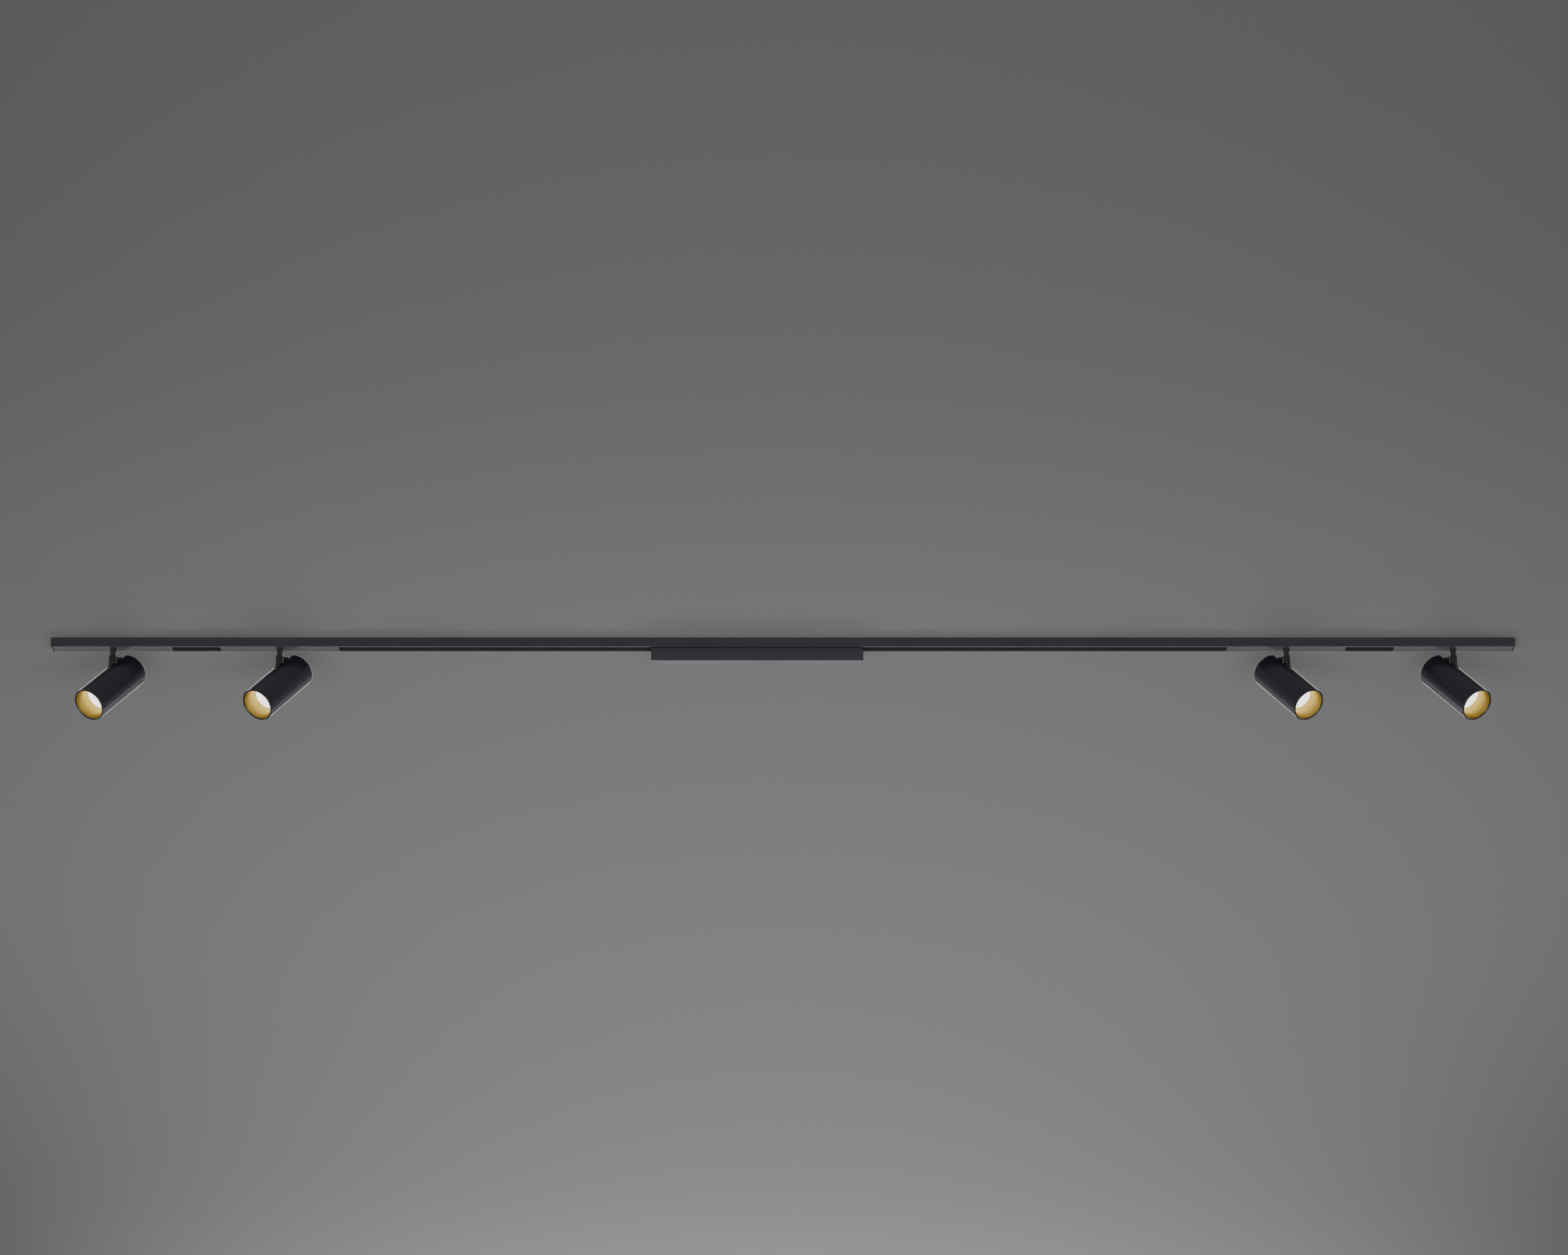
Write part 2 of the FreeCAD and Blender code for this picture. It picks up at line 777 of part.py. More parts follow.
def make_pin(label, place):
    """The pivot pin, with a head at one end, lying along Y in the fork."""
    body = new_body(label)
    shank = new_sketch(body, "XZ_Plane")
    circle(shank, "pin_size")
    grow(body, shank, "fork_wide", middle=True)
    flange = new_sketch(body, "XZ_Plane", offset="fork_wide / 2")
    circle(flange, "pin_head")
    grow(body, flange, "pin_head_thick")
    body.Placement = place


def make_head_shell(label, place):
    body = new_body(label)
    section = new_sketch(body, "XZ_Plane")
    outside = "head_size / 2"
    inside = "head_size / 2 - head_wall"
    outline(section, [
        ("0", "head_rear"),
        (outside, "head_rear"),
        (outside, "- head_front"),
        (inside, "- head_front"),
        (inside, "head_rear - rear_wall"),
        ("0", "head_rear - rear_wall"),
    ])
    spin(body, section)
    rear = size("head_rear")
    front = -size("head_front")
    soften(body, "Fillet", "rear_round", lambda edge: flat_at(edge, "Z", rear))
    soften(body, "Chamfer", "edge_break", lambda edge: flat_at(edge, "Z", front))
    notch = new_sketch(body, "YZ_Plane", offset="- notch_past")
    turn = "head_rear - notch_long + notch_width / 2"
    rectangle(notch, "- notch_width / 2", "notch_width / 2", turn, "head_rear + 1")
    cut(body, notch, "head_size", ahead=True)
    end = new_sketch(body, "YZ_Plane")
    circle(end, "notch_width", y=turn)
    cut(body, end, "head_size", ahead=True)
    half = size("notch_width") / 2
    outer = size("head_size") / 2

    def notch_rim(edge):
        box = edge.BoundBox
        beside = box.YMin > -half - 0.01 and box.YMax < half + 0.01
        outside = all((Vector(p.X, p.Y, 0).Length - outer) > -0.01 for p in edge.Vertexes)
        return beside and outside and box.XMin > outer / 2 and box.ZMax < rear

    soften(body, "Chamfer", "edge_break", notch_rim)
    body.Placement = place


def make_heat_sink(label, place):
    """A finned slug whose fork holds the pivot pin."""
    body = new_body(label)
    slug = new_sketch(body, "XY_Plane", offset="- sink_front")
    circle(slug, "sink_size")
    grow(body, slug, "sink_front - sink_back")
    fork = new_sketch(body, "XZ_Plane")
    rectangle(fork, "- fork_eye / 2", "fork_eye / 2", "- sink_back - 1", "0")
    grow(body, fork, "fork_wide", middle=True)
    eyes = new_sketch(body, "XZ_Plane")
    circle(eyes, "fork_eye")
    grow(body, eyes, "fork_wide", middle=True)
    gap = new_sketch(body, "XZ_Plane")
    rectangle(gap, "- fork_eye", "fork_eye", "- sink_back", "fork_eye")
    cut(body, gap, "fork_gap", middle=True)
    pivot = new_sketch(body, "XZ_Plane")
    circle(pivot, "pin_size")
    cut(body, pivot, "fork_wide + 2", middle=True)
    slot = new_sketch(body, "XY_Plane", offset="- sink_back")
    rectangle(slot, "sink_hub / 2", "sink_size", "- fin_slot / 2", "fin_slot / 2")
    first = cut(body, slot, "fin_slot_deep")
    fins = body.newObject("PartDesign::PolarPattern", label + "_fins")
    fins.Originals = [first]
    fins.Axis = (slot, ["N_Axis"])
    fins.Angle = 360
    bind(fins, Occurrences="fin_slots")
    body.Tip = fins
    body.Placement = place


def make_led_board(label, place):
    body = new_body(label)
    board = new_sketch(body, "XY_Plane", offset="- sink_front")
    circle(board, "led_board_size")
    grow(body, board, "led_board_thick", back=True)
    chip = new_sketch(body, "XY_Plane", offset="- sink_front - led_board_thick")
    circle(chip, "led_size")
    grow(body, chip, "led_thick", back=True)
    body.Placement = place


def make_reflector(label, place):
    """A spun gold cup with a front flange and a short neck that stands on the LED board."""
    body = new_body(label)
    section = new_sketch(body, "XZ_Plane")
    front = "- head_front + cup_inset"
    floor = f"{front} + cup_depth"
    seat = "- sink_front - led_board_thick"
    outline(section, [
        ("cup_mouth / 2", front),
        ("cup_neck / 2", floor),
        ("cup_neck / 2", seat),
        ("cup_neck / 2 + cup_neck_wall", seat),
        ("cup_neck / 2 + cup_neck_wall", floor),
        ("cup_mouth / 2 + cup_wall", f"{front} + cup_flange"),
        ("cup_mouth / 2 + cup_wall", front),
    ])
    spin(body, section)
    body.Placement = place


def make_lens(label, place):
    """A disc of opal plastic, a little crowned, at the foot of the cup."""
    body = new_body(label)
    section = new_sketch(body, "XZ_Plane")
    face = "- head_front + cup_inset + cup_depth"
    outline(section, [
        ("0", f"{face} + lens_thick"),
        ("lens_size / 2", f"{face} + lens_thick"),
        ("lens_size / 2", face),
        ("lens_size / 4", f"{face} - lens_crown * 0.75"),
        ("0", f"{face} - lens_crown"),
    ])
    spin(body, section)
    body.Placement = place


UP = Vector(0, 0, 1)
ACROSS = Vector(0, 1, 0)
RIGHT_HEADING = -size("heading")
SPOTS = (
    ("outer_left", -size("outer_stem_x"), 180 - RIGHT_HEADING),
    ("inner_left", -size("inner_stem_x"), 180 - RIGHT_HEADING),
    ("inner_right", size("inner_stem_x"), RIGHT_HEADING),
    ("outer_right", size("outer_stem_x"), RIGHT_HEADING),
)
for spot, along, heading in SPOTS:
    foot = Vector(along, 0, -size("rail_height"))
    adapter_place = FreeCAD.Placement(foot, FreeCAD.Rotation())
    turned = FreeCAD.Rotation(UP, heading)
    stem_place = FreeCAD.Placement(foot, turned)
    lean = FreeCAD.Rotation(ACROSS, size("tilt") - 90)
    pivot_point = foot - UP * size("pivot_drop")
    head_place = FreeCAD.Placement(pivot_point, turned.multiply(lean))
    make_adapter_housing(f"{spot}_adapter_housing", adapter_place)
    make_adapter_cover(f"{spot}_adapter_cover", adapter_place)
    make_adapter_board(f"{spot}_adapter_board", adapter_place)
    make_adapter_magnets(f"{spot}_adapter_magnets", adapter_place)
    make_stem(f"{spot}_stem", stem_place)
    make_pin(f"{spot}_pivot_pin", head_place)
    make_head_shell(f"{spot}_head_shell", head_place)
    make_heat_sink(f"{spot}_heat_sink", head_place)
    make_led_board(f"{spot}_led_board", head_place)
    make_reflector(f"{spot}_reflector", head_place)
    make_lens(f"{spot}_lens", head_place)


# ---- check every object, then write each piece to its own file ----

doc.recompute()
for item in doc.Objects:
    if "Invalid" in item.State or "Error" in item.State:
        raise RuntimeError(f"{item.Label} failed: {item.State}")
for piece in made:
    if piece.Shape.isNull() or not piece.Shape.isValid():
        raise RuntimeError(f"{piece.Label} has a bad shape")
os.makedirs("parts", exist_ok=True)
for piece in made:
    piece.Shape.exportStep(f"parts/{piece.Label}.step")
    print(f"{piece.Label}: {len(piece.Shape.Solids)} solids, {piece.Shape.Volume / 1000:.2f} cm3")
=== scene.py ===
import math
import bpy
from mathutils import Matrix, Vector


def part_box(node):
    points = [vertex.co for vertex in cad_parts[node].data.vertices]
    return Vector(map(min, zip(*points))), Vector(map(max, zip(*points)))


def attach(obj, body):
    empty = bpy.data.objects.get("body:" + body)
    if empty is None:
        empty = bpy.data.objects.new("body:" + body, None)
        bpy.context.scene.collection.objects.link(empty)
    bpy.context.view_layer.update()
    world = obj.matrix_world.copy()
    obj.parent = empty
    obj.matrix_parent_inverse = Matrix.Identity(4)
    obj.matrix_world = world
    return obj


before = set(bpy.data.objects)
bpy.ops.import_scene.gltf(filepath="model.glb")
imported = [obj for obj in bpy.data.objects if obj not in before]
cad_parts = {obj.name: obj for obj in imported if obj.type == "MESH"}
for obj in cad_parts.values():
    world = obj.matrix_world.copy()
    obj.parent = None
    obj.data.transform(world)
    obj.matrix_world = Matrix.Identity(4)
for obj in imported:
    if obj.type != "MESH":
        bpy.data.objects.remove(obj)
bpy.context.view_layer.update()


# Camera: a long lens about 6 m off, below the ceiling and tipped 20 degrees up at the rail.
# It looks squarely along +Y, so that the rail runs level across the picture.
LOOK_UP = math.radians(20)
FOCAL_LENGTH = 100.2
SENSOR_WIDTH = 36
NEAREST, FARTHEST = 0.1, 100
AIM_DISTANCE = 5.961
AIM_RIGHT = 0.0013
AIM_UP = 0.0198
rail_low, rail_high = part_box("rail")
rail_front = Vector((0, rail_low[1], (rail_low[2] + rail_high[2]) / 2))
ahead = Vector((0, math.cos(LOOK_UP), math.sin(LOOK_UP)))
above = Vector((0, -math.sin(LOOK_UP), math.cos(LOOK_UP)))
camera_data = bpy.data.cameras.new("camera")
camera_data.lens = FOCAL_LENGTH
camera_data.sensor_width = SENSOR_WIDTH
camera_data.clip_start = NEAREST
camera_data.clip_end = FARTHEST
camera = bpy.data.objects.new("camera", camera_data)
bpy.context.collection.objects.link(camera)
camera.location = rail_front - ahead * AIM_DISTANCE + above * AIM_UP + Vector((AIM_RIGHT, 0, 0))
camera.rotation_euler = (math.radians(90) + LOOK_UP, 0, 0)
bpy.context.scene.camera = camera


# Ceiling and floor: painted surfaces that aren't part of the fixture. The floor is an even pale grey; the
# ceiling's grey is painted light and shade, dark in front of the rail, palest behind it, darker to the
# sides.
# Each is seen only from its own side, so that neither hides the fixture from any angle.
CEILING_GAP = 0.0004
FLOOR_DROP = 2.6
STAGE_SIZE = 60
# The ceiling's greys along Y and its sideways fading are painted light and painted shade.
CEILING_PAINTED_LIGHT_GREYS = ((-2.2, 0.085), (-1.0, 0.158), (0.0, 0.262), (1.8, 0.405), (4.2, 0.30))
CEILING_PAINTED_SIDE_SHADE = 0.17
FLOOR_GREYS = ((-1.0, 0.70), (1.0, 0.70))
FLOOR_GLOW = 0.22
PAINT_ROUGHNESS = 0.9
PAINT_GLOSS = 0.1


def painted_surface(name, height, faces_up, stops, fading, glow=0.0):
    """A painted plane: stops gives its grey at places along Y, fading how much it darkens with the square
    of the distance sideways, and glow how pale it stays where little light falls on it. On the ceiling, the
    greys along Y and the sideways darkening are painted light and painted shade."""
    mesh = bpy.data.meshes.new(name)
    reach = STAGE_SIZE / 2
    turns = ((-1, -1), (1, -1), (1, 1), (-1, 1))
    corners = [(x * reach, y * reach, height) for x, y in turns]
    mesh.from_pydata(corners, [], [(0, 1, 2, 3) if faces_up else (3, 2, 1, 0)])
    surface = bpy.data.objects.new(name, mesh)
    bpy.context.collection.objects.link(surface)
    paint = bpy.data.materials.new(name)
    paint.use_nodes = True
    nodes, links = paint.node_tree.nodes, paint.node_tree.links
    shader = nodes["Principled BSDF"]
    place = nodes.new("ShaderNodeTexCoord")
    axes = nodes.new("ShaderNodeSeparateXYZ")
    links.new(place.outputs["Object"], axes.inputs[0])
    along = nodes.new("ShaderNodeMapRange")
    along.inputs["From Min"].default_value = -reach
    along.inputs["From Max"].default_value = reach
    links.new(axes.outputs["Y"], along.inputs["Value"])
    ramp = nodes.new("ShaderNodeValToRGB")
    ramp.color_ramp.interpolation = "B_SPLINE"
    while len(ramp.color_ramp.elements) < len(stops):
        ramp.color_ramp.elements.new(0.5)
    for element, (where, grey) in zip(ramp.color_ramp.elements, stops):
        element.position = (where + reach) / STAGE_SIZE
        element.color = (grey, grey, grey, 1)
    links.new(along.outputs[0], ramp.inputs[0])
    square = nodes.new("ShaderNodeMath")
    square.operation = "MULTIPLY"
    links.new(axes.outputs["X"], square.inputs[0])
    links.new(axes.outputs["X"], square.inputs[1])
    shade = nodes.new("ShaderNodeMath")
    shade.operation = "MULTIPLY_ADD"
    shade.use_clamp = True
    links.new(square.outputs[0], shade.inputs[0])
    shade.inputs[1].default_value = -fading
    shade.inputs[2].default_value = 1.0
    faded = nodes.new("ShaderNodeVectorMath")
    faded.operation = "SCALE"
    links.new(ramp.outputs[0], faded.inputs[0])
    links.new(shade.outputs[0], faded.inputs["Scale"])
    links.new(faded.outputs[0], shader.inputs["Base Color"])
    shader.inputs["Roughness"].default_value = PAINT_ROUGHNESS
    shader.inputs["Specular IOR Level"].default_value = PAINT_GLOSS
    shader.inputs["Emission Color"].default_value = (1, 1, 1, 1)
    shader.inputs["Emission Strength"].default_value = glow
    side = nodes.new("ShaderNodeNewGeometry")
    clear = nodes.new("ShaderNodeBsdfTransparent")
    mix = nodes.new("ShaderNodeMixShader")
    links.new(side.outputs["Backfacing"], mix.inputs[0])
    links.new(shader.outputs[0], mix.inputs[1])
    links.new(clear.outputs[0], mix.inputs[2])
    links.new(mix.outputs[0], nodes["Material Output"].inputs["Surface"])
    mesh.materials.append(paint)
    surface.visible_shadow = False
    surface.visible_glossy = False
    return surface


painted_surface("ceiling", rail_high[2] + CEILING_GAP, False, CEILING_PAINTED_LIGHT_GREYS, CEILING_PAINTED_SIDE_SHADE)
floor = painted_surface("floor", rail_high[2] - FLOOR_DROP, True, FLOOR_GREYS, 0.0, glow=FLOOR_GLOW)
floor.visible_diffuse = False


# Lights: large soft panels light the room; the panels marked as seen in reflections only draw the
# pale lines along the heads and the sheen under the rail.
AT_RAIL = (0, 0, 0)
AT_SPOTS = (0, 0, -0.1)
LILAC_WHITE = (0.96, 0.91, 1.0)
COOL_WHITE = (0.97, 0.95, 1.0)
BLUE_WHITE = (0.97, 0.97, 1.0)
ROOM_COLOUR = (0.80, 0.80, 0.82, 1)
ROOM_STRENGTH = 0.30


def soft_panel(name, place, aim, size, watts, colour=(1, 1, 1)):
    """A rectangular lamp at place that faces aim; size is its width and height in metres."""
    data = bpy.data.lights.new(name, "AREA")
    data.shape = "RECTANGLE"
    data.size, data.size_y = size
    data.energy = watts
    data.color = colour
    panel = bpy.data.objects.new(name, data)
    bpy.context.collection.objects.link(panel)
    panel.location = place
    panel.rotation_euler = (Vector(aim) - Vector(place)).to_track_quat("-Z", "Y").to_euler()
    return panel


soft_panel("front_panel", (0, -3.4, -2.2), AT_RAIL, (5.0, 1.6), 105)
soft_panel("left_panel", (-3.4, 0.4, -0.9), AT_SPOTS, (1.6, 0.9), 22)
soft_panel("right_panel", (3.4, 0.4, -0.9), AT_SPOTS, (1.6, 0.9), 22)
for unreflected in (soft_panel("far_panel", (0, 5.4, -2.3), (0, 4.6, 0), (5.0, 1.0), 90),
                    soft_panel("top_panel", (0, -0.4, 2.6), AT_RAIL, (4.0, 1.2), 40)):
    unreflected.visible_glossy = False
for only_reflected in (soft_panel("rear_glow", (0, 3.2, -1.0), AT_SPOTS, (7.0, 1.0), 42, LILAC_WHITE),
                       soft_panel("rim_glow", (0, 3.4, 0.75), AT_SPOTS, (7.0, 0.7), 42, COOL_WHITE),
                       soft_panel("upper_glow", (0, 3.4, 1.7), AT_SPOTS, (7.0, 0.9), 55, BLUE_WHITE)):
    only_reflected.visible_diffuse = False
world = bpy.data.worlds.new("room")
world.use_nodes = True
world.node_tree.nodes["Background"].inputs["Color"].default_value = ROOM_COLOUR
world.node_tree.nodes["Background"].inputs["Strength"].default_value = ROOM_STRENGTH
bpy.context.scene.world = world


# Rail: one black extrusion with a matt powder coat, fine-grained, dusty on top and paler along its sharp
# edges, partly from rubbing and partly a painted highlight that draws the bright line at the foot of its
# front.
DRIFT_SCALE = 14.0
SPECK_SCALE = 420.0
PATCH_SCALE = 160.0
DRIFT_BRIGHTNESS = 1.6
DUST_COLOUR = (0.34, 0.33, 0.31, 1)
DUST_ROUGHNESS = 0.4
WEAR_SHARPNESS = 5.0


def group_tree(name, inputs, outputs):
    """A shader node group with sockets given as (name, type, default)."""
    tree = bpy.data.node_groups.new(name, "ShaderNodeTree")
    for direction, sockets in (("INPUT", inputs), ("OUTPUT", outputs)):
        for label, kind, default in sockets:
            socket = tree.interface.new_socket(label, in_out=direction, socket_type="NodeSocket" + kind)
            if default is not None:
                socket.default_value = default
    return tree, tree.nodes.new("NodeGroupInput"), tree.nodes.new("NodeGroupOutput")


def maths_node(tree, operation, first, second, clamp=False):
    """A maths node whose two inputs are numbers or sockets; returns its output."""
    node = tree.nodes.new("ShaderNodeMath")
    node.operation = operation
    node.use_clamp = clamp
    for socket, value in zip(node.inputs, (first, second)):
        if isinstance(value, (int, float)):
            socket.default_value = value
        else:
            tree.links.new(value, socket)
    return node.outputs[0]


def noise_node(tree, scale, detail, coordinates):
    """Noise at a scale that is a number or a socket."""
    node = tree.nodes.new("ShaderNodeTexNoise")
    node.inputs["Detail"].default_value = detail
    if isinstance(scale, (int, float)):
        node.inputs["Scale"].default_value = scale
    else:
        tree.links.new(scale, node.inputs["Scale"])
    tree.links.new(coordinates, node.inputs["Vector"])
    return node.outputs[0]


def blend_colours(tree, amount, first, second):
    """The mix of two colours, each a value or a socket, as amount goes from the first to the second."""
    node = tree.nodes.new("ShaderNodeMix")
    node.data_type = "RGBA"
    for socket, value in ((node.inputs[0], amount), (node.inputs[6], first), (node.inputs[7], second)):
        if hasattr(value, "is_output"):
            tree.links.new(value, socket)
        else:
            socket.default_value = value
    return node.outputs[2]


def make_grain_group():
    """Fine coat grain, slow unevenness of colour and gloss, and dust settled on what faces up."""
    tree, given, result = group_tree(
        "coat_grain",
        [("Color", "Color", (0.5, 0.5, 0.5, 1)), ("Roughness", "Float", 0.5),
         ("Grains per metre", "Float", 2500.0), ("Unevenness", "Float", 0.15), ("Dust", "Float", 0.2)],
        [("Color", "Color", None), ("Roughness", "Float", None), ("Height", "Float", None)],
    )
    place = tree.nodes.new("ShaderNodeTexCoord").outputs["Object"]
    grain = noise_node(tree, given.outputs["Grains per metre"], 2.0, place)
    drift = noise_node(tree, DRIFT_SCALE, 4.0, place)
    specks = noise_node(tree, SPECK_SCALE, 3.0, place)
    facing = tree.nodes.new("ShaderNodeSeparateXYZ")
    tree.links.new(tree.nodes.new("ShaderNodeNewGeometry").outputs["Normal"], facing.inputs[0])
    upward = maths_node(tree, "MAXIMUM", facing.outputs["Z"], 0.0)
    patchy = maths_node(tree, "MULTIPLY", upward, maths_node(tree, "MULTIPLY", drift, specks))
    dust = maths_node(tree, "MULTIPLY", patchy, given.outputs["Dust"], clamp=True)
    centred = maths_node(tree, "SUBTRACT", drift, 0.5)
    shift = maths_node(tree, "MULTIPLY", centred, given.outputs["Unevenness"])
    bright = maths_node(tree, "ADD", maths_node(tree, "MULTIPLY", shift, DRIFT_BRIGHTNESS), 1.0)
    tinted = tree.nodes.new("ShaderNodeVectorMath")
    tinted.operation = "SCALE"
    tree.links.new(given.outputs["Color"], tinted.inputs[0])
    tree.links.new(bright, tinted.inputs["Scale"])
    colour = blend_colours(tree, dust, tinted.outputs[0], DUST_COLOUR)
    rough = maths_node(tree, "ADD", given.outputs["Roughness"], shift)
    dusty = maths_node(tree, "MULTIPLY", dust, DUST_ROUGHNESS)
    rougher = maths_node(tree, "ADD", rough, dusty, clamp=True)
    tree.links.new(colour, result.inputs["Color"])
    tree.links.new(rougher, result.inputs["Roughness"])
    tree.links.new(grain, result.inputs["Height"])
    return tree


def make_edge_wear_and_highlight_group():
    """Sharp edges, where the rounded normal leaves the true one, in broken patches: rubbed wear, and on the
    rail a painted edge highlight.
    """
    tree, given, result = group_tree(
        "edge_wear_and_highlight",
        [("Width", "Float", 0.0004), ("Amount", "Float", 0.5)],
        [("Mask", "Float", None)],
    )
    rounded = tree.nodes.new("ShaderNodeBevel")
    rounded.samples = 4
    tree.links.new(given.outputs["Width"], rounded.inputs["Radius"])
    true = tree.nodes.new("ShaderNodeNewGeometry")
    compare = tree.nodes.new("ShaderNodeVectorMath")
    compare.operation = "DOT_PRODUCT"
    tree.links.new(rounded.outputs[0], compare.inputs[0])
    tree.links.new(true.outputs["Normal"], compare.inputs[1])
    bend = maths_node(tree, "SUBTRACT", 1.0, compare.outputs["Value"], clamp=True)
    place = tree.nodes.new("ShaderNodeTexCoord").outputs["Object"]
    patches = noise_node(tree, PATCH_SCALE, 4.0, place)
    edge = maths_node(tree, "MULTIPLY", bend, WEAR_SHARPNESS, clamp=True)
    rubbed_and_lit_edges = maths_node(tree, "MULTIPLY", edge, patches)
    mask = maths_node(tree, "MULTIPLY", rubbed_and_lit_edges, given.outputs["Amount"], clamp=True)
    tree.links.new(mask, result.inputs["Mask"])
    return tree


coat_grain = make_grain_group()
edge_wear_and_highlight = make_edge_wear_and_highlight_group()


def finish_with(name, colour, rough, metal=0.0, grains=2500.0, unevenness=0.15, dust=0.2,
                depth=0.00002, wear_and_highlight_amount=0.4, worn_and_highlight_colour=(0.20, 0.20, 0.21, 1), coat=0.0):
    """A surface with the shared grain and the edge mark of wear and painted highlight; returns the material
    and its shader.
    """
    material = bpy.data.materials.new(name)
    material.use_nodes = True
    tree = material.node_tree
    shader = tree.nodes["Principled BSDF"]
    shader.inputs["Metallic"].default_value = metal
    shader.inputs["Coat Weight"].default_value = coat
    grain = tree.nodes.new("ShaderNodeGroup")
    grain.node_tree = coat_grain
    grain.inputs["Color"].default_value = (*colour, 1)
    grain.inputs["Roughness"].default_value = rough
    grain.inputs["Grains per metre"].default_value = grains
    grain.inputs["Unevenness"].default_value = unevenness
    grain.inputs["Dust"].default_value = dust
    edge_wear_and_highlight_node = tree.nodes.new("ShaderNodeGroup")
    edge_wear_and_highlight_node.node_tree = edge_wear_and_highlight
    edge_wear_and_highlight_node.inputs["Amount"].default_value = wear_and_highlight_amount
    # Sharp edges take the worn colour: rubbed wear, and on the rail a painted highlight along its edges.
    mixed = blend_colours(tree, edge_wear_and_highlight_node.outputs["Mask"], grain.outputs["Color"], worn_and_highlight_colour)
    bump = tree.nodes.new("ShaderNodeBump")
    bump.inputs["Distance"].default_value = depth
    tree.links.new(grain.outputs["Height"], bump.inputs["Height"])
    tree.links.new(mixed, shader.inputs["Base Color"])
    tree.links.new(grain.outputs["Roughness"], shader.inputs["Roughness"])
    tree.links.new(bump.outputs[0], shader.inputs["Normal"])
    return material, shader


def dress(node, material):
    """Give a piece of the frame its finish."""
    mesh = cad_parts[node].data
    mesh.materials.clear()
    mesh.materials.append(material)


# The rail's paler edge colour and stronger edge mark paint a highlight along its edges, besides the wear.
rail_coat, _ = finish_with("rail_powder_coat", (0.036, 0.034, 0.042), 0.40, grains=2200.0, dust=0.35,
                           wear_and_highlight_amount=0.6, worn_and_highlight_colour=(0.24, 0.23, 0.26, 1))
dress("rail", rail_coat)


# End caps: moulded black plastic plates that close the rail's two ends.
cap_plastic, _ = finish_with("end_cap_plastic", (0.024, 0.024, 0.027), 0.58, grains=3200.0)
for end in ("left", "right"):
    dress(f"end_cap_{end}", cap_plastic)


# Liners and conductors: dark grey extruded plastic along both sides of the slot,
# each with a groove that holds a bare copper strip.
liner_plastic, _ = finish_with("liner_plastic", (0.022, 0.022, 0.024), 0.62, grains=1600.0,
                               wear_and_highlight_amount=0.1, dust=0.05)
for side in ("front", "rear"):
    dress(f"insulator_{side}", liner_plastic)
copper, _ = finish_with("bare_copper", (0.16, 0.09, 0.06), 0.42, metal=1.0, grains=900.0,
                        dust=0.05, wear_and_highlight_amount=0.0)
dress("conductors", copper)
dress("driver_contacts", copper)


# Steel strips: plated strip under the rail's web, for the adapters' magnets to hold on to.
steel, _ = finish_with("plated_steel", (0.42, 0.42, 0.43), 0.38, metal=1.0, grains=1200.0, wear_and_highlight_amount=0.0)
dress("steel_strips", steel)


# Driver: an aluminium trough under the slot, coated like the rail, with a plate on each end
# and a moulded lid whose hollow insert fills the slot above it.
driver_coat, _ = finish_with("driver_powder_coat", (0.042, 0.040, 0.048), 0.36, grains=2600.0, wear_and_highlight_amount=0.5)
dress("driver_housing", driver_coat)
dress("driver_end_plates", driver_coat)
dress("driver_lid", cap_plastic)


# Driver's inside: board, transformer, capacitors and terminals.
board_mask, _ = finish_with("green_solder_mask", (0.02, 0.13, 0.05), 0.35, grains=900.0, wear_and_highlight_amount=0.0)
dress("driver_board", board_mask)
tape, _ = finish_with("winding_tape", (0.50, 0.36, 0.07), 0.40, grains=700.0, wear_and_highlight_amount=0.0)
dress("transformer", tape)
sleeve, _ = finish_with("capacitor_sleeve", (0.02, 0.03, 0.07), 0.30, grains=800.0, wear_and_highlight_amount=0.0)
dress("capacitors", sleeve)
terminal_plastic, _ = finish_with("terminal_plastic", (0.05, 0.24, 0.08), 0.45, wear_and_highlight_amount=0.1)
dress("terminal_block", terminal_plastic)


# End plate screws: two pan heads with crossed recesses on each end of the driver.
# The terminals' clamp screws are the same shape, smaller, at the foot of their wells.
SCREW_DROPS = (0.0040, 0.0140)
CLAMP_HEAD = 0.0015
WELL_DEPTH = 0.005
WELL_OFFSET = 0.0028
UNDER_CUT = 4
RECESS_DEPTH = 1.2


def add_node(tree, kind, given=None, **settings):
    """A node with its settings made, and its inputs set or linked by name or number."""
    node = tree.nodes.new(kind)
    for name, value in settings.items():
        setattr(node, name, value)
    for socket, value in (given or {}).items():
        if hasattr(value, "is_output"):
            tree.links.new(value, node.inputs[socket])
        else:
            node.inputs[socket].default_value = value
    return node


def geometry_tree(name, sizes):
    """A tree with a named input for each size, given as its socket type and default."""
    tree = bpy.data.node_groups.new(name, "GeometryNodeTree")
    tree.interface.new_socket("Geometry", in_out="INPUT", socket_type="NodeSocketGeometry")
    for title, (kind, default) in sizes.items():
        socket = tree.interface.new_socket(title, in_out="INPUT", socket_type="NodeSocket" + kind)
        if default is not None:
            socket.default_value = default
    tree.interface.new_socket("Geometry", in_out="OUTPUT", socket_type="NodeSocketGeometry")
    return tree, tree.nodes.new("NodeGroupInput"), tree.nodes.new("NodeGroupOutput")


def end_tree(tree, given, result, shape):
    """Make the shape's instances real, give them the tree's material and put them out."""
    real = add_node(tree, "GeometryNodeRealizeInstances", {0: shape})
    dressed = add_node(tree, "GeometryNodeSetMaterial", {
        0: real.outputs[0], "Material": given.outputs["Material"]})
    tree.links.new(dressed.outputs[0], result.inputs[0])


